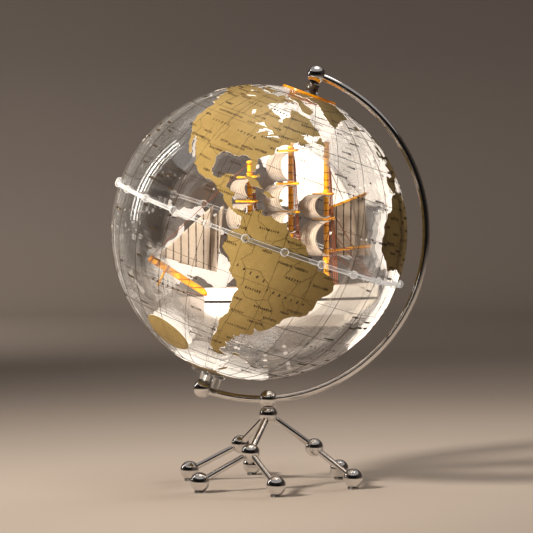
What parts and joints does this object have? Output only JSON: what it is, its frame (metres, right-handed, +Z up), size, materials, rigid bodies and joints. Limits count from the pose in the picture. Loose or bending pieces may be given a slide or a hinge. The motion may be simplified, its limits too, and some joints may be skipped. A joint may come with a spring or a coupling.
{
  "type": "desktop globe on stand",
  "caption": "Clear desktop globe with a printed map and a level model sailing ship inside, turning on a polished meridian arm over a three-legged ball-and-rod stand.",
  "frame": {"origin": "on the floor under the stand's upright axis, which is also the middle of the whole object's footprint", "axes": "+Z up; the meridian arm lies in the XZ plane and bulges towards +X; the viewer's side of the ship faces -Y"},
  "size_m": [0.2157, 0.2068, 0.284],
  "materials": {
    "clear_silicone": "satin clear silicone",
    "chrome_ball": "mirror polished",
    "chrome_rod": "mirror polished",
    "clear_fitting": "clear moulded acrylic",
    "clear_shell": "clear blow-moulded acrylic, printed with a map",
    "ring_clear": "clear moulded acrylic",
    "amber_cap": "amber tinted acrylic",
    "smoked_boss": "dark smoked acrylic",
    "map_gold": "matte gold print",
    "map_white": "white print backing",
    "map_ink": "black print",
    "hull_white": "white moulded plastic with a painted black line",
    "hull_grey": "light grey moulded plastic",
    "deck_wood": "planked, satin",
    "spar_gold": "golden lacquered wood with dark bands",
    "sail_cloth": "cream cotton with sewn brown panel seams",
    "shroud_thread": "waxed brown thread",
    "stay_thread": "waxed dark thread"
  },
  "bodies": {
    "stand": {"foot_pads": "clear_silicone", "foot_ball_1": "chrome_ball", "foot_ball_2": "chrome_ball", "foot_ball_3": "chrome_ball", "foot_ball_4": "chrome_ball", "foot_ball_5": "chrome_ball", "foot_ball_6": "chrome_ball", "lower_rod_1": "chrome_rod", "lower_rod_2": "chrome_rod", "lower_rod_3": "chrome_rod", "lower_rod_4": "chrome_rod", "lower_rod_5": "chrome_rod", "lower_rod_6": "chrome_rod", "knee_ball_1": "chrome_ball", "knee_ball_2": "chrome_ball", "knee_ball_3": "chrome_ball", "upper_rod_1": "chrome_rod", "upper_rod_2": "chrome_rod", "upper_rod_3": "chrome_rod", "hub_ball": "chrome_ball", "neck_stud": "chrome_rod", "clamp_ball": "chrome_ball", "meridian_arm": "chrome_rod", "north_ball": "chrome_ball", "south_ball": "chrome_ball", "north_pin": "chrome_rod", "south_pin": "chrome_rod", "south_sleeve": "clear_fitting", "south_flange": "clear_fitting", "anti_turn_tab": "clear_fitting", "ship_stem": "clear_fitting", "hull_body": "hull_white", "cutwater": "hull_grey", "ship_deck": "deck_wood", "bowsprit": "spar_gold", "dolphin_striker": "spar_gold", "fore_mast": "spar_gold", "main_mast": "spar_gold", "mizzen_mast": "spar_gold", "yards": "spar_gold", "spanker_spars": "spar_gold", "outer_jib": "sail_cloth", "inner_jib": "sail_cloth", "fore_topsail": "sail_cloth", "fore_course": "sail_cloth", "main_topgallant": "sail_cloth", "main_topsail": "sail_cloth", "main_course": "sail_cloth", "mizzen_topsail": "sail_cloth", "mizzen_course": "sail_cloth", "spanker": "sail_cloth", "shrouds": "shroud_thread", "stays": "stay_thread"},
    "globe": {"north_hemisphere": "clear_shell", "south_hemisphere": "clear_shell", "north_cap": "amber_cap", "north_boss": "smoked_boss", "south_bush": "clear_fitting", "equator_ring": "ring_clear", "equator_beads": "ring_clear"}
  },
  "joints": [
    {"name": "globe_spin", "type": "hinge", "parent": "stand", "child": "globe", "pos_m": [-0.00632, 0, 0.17152], "axis": [0.345, 0, 0.9386], "continuous": true}
  ]
}
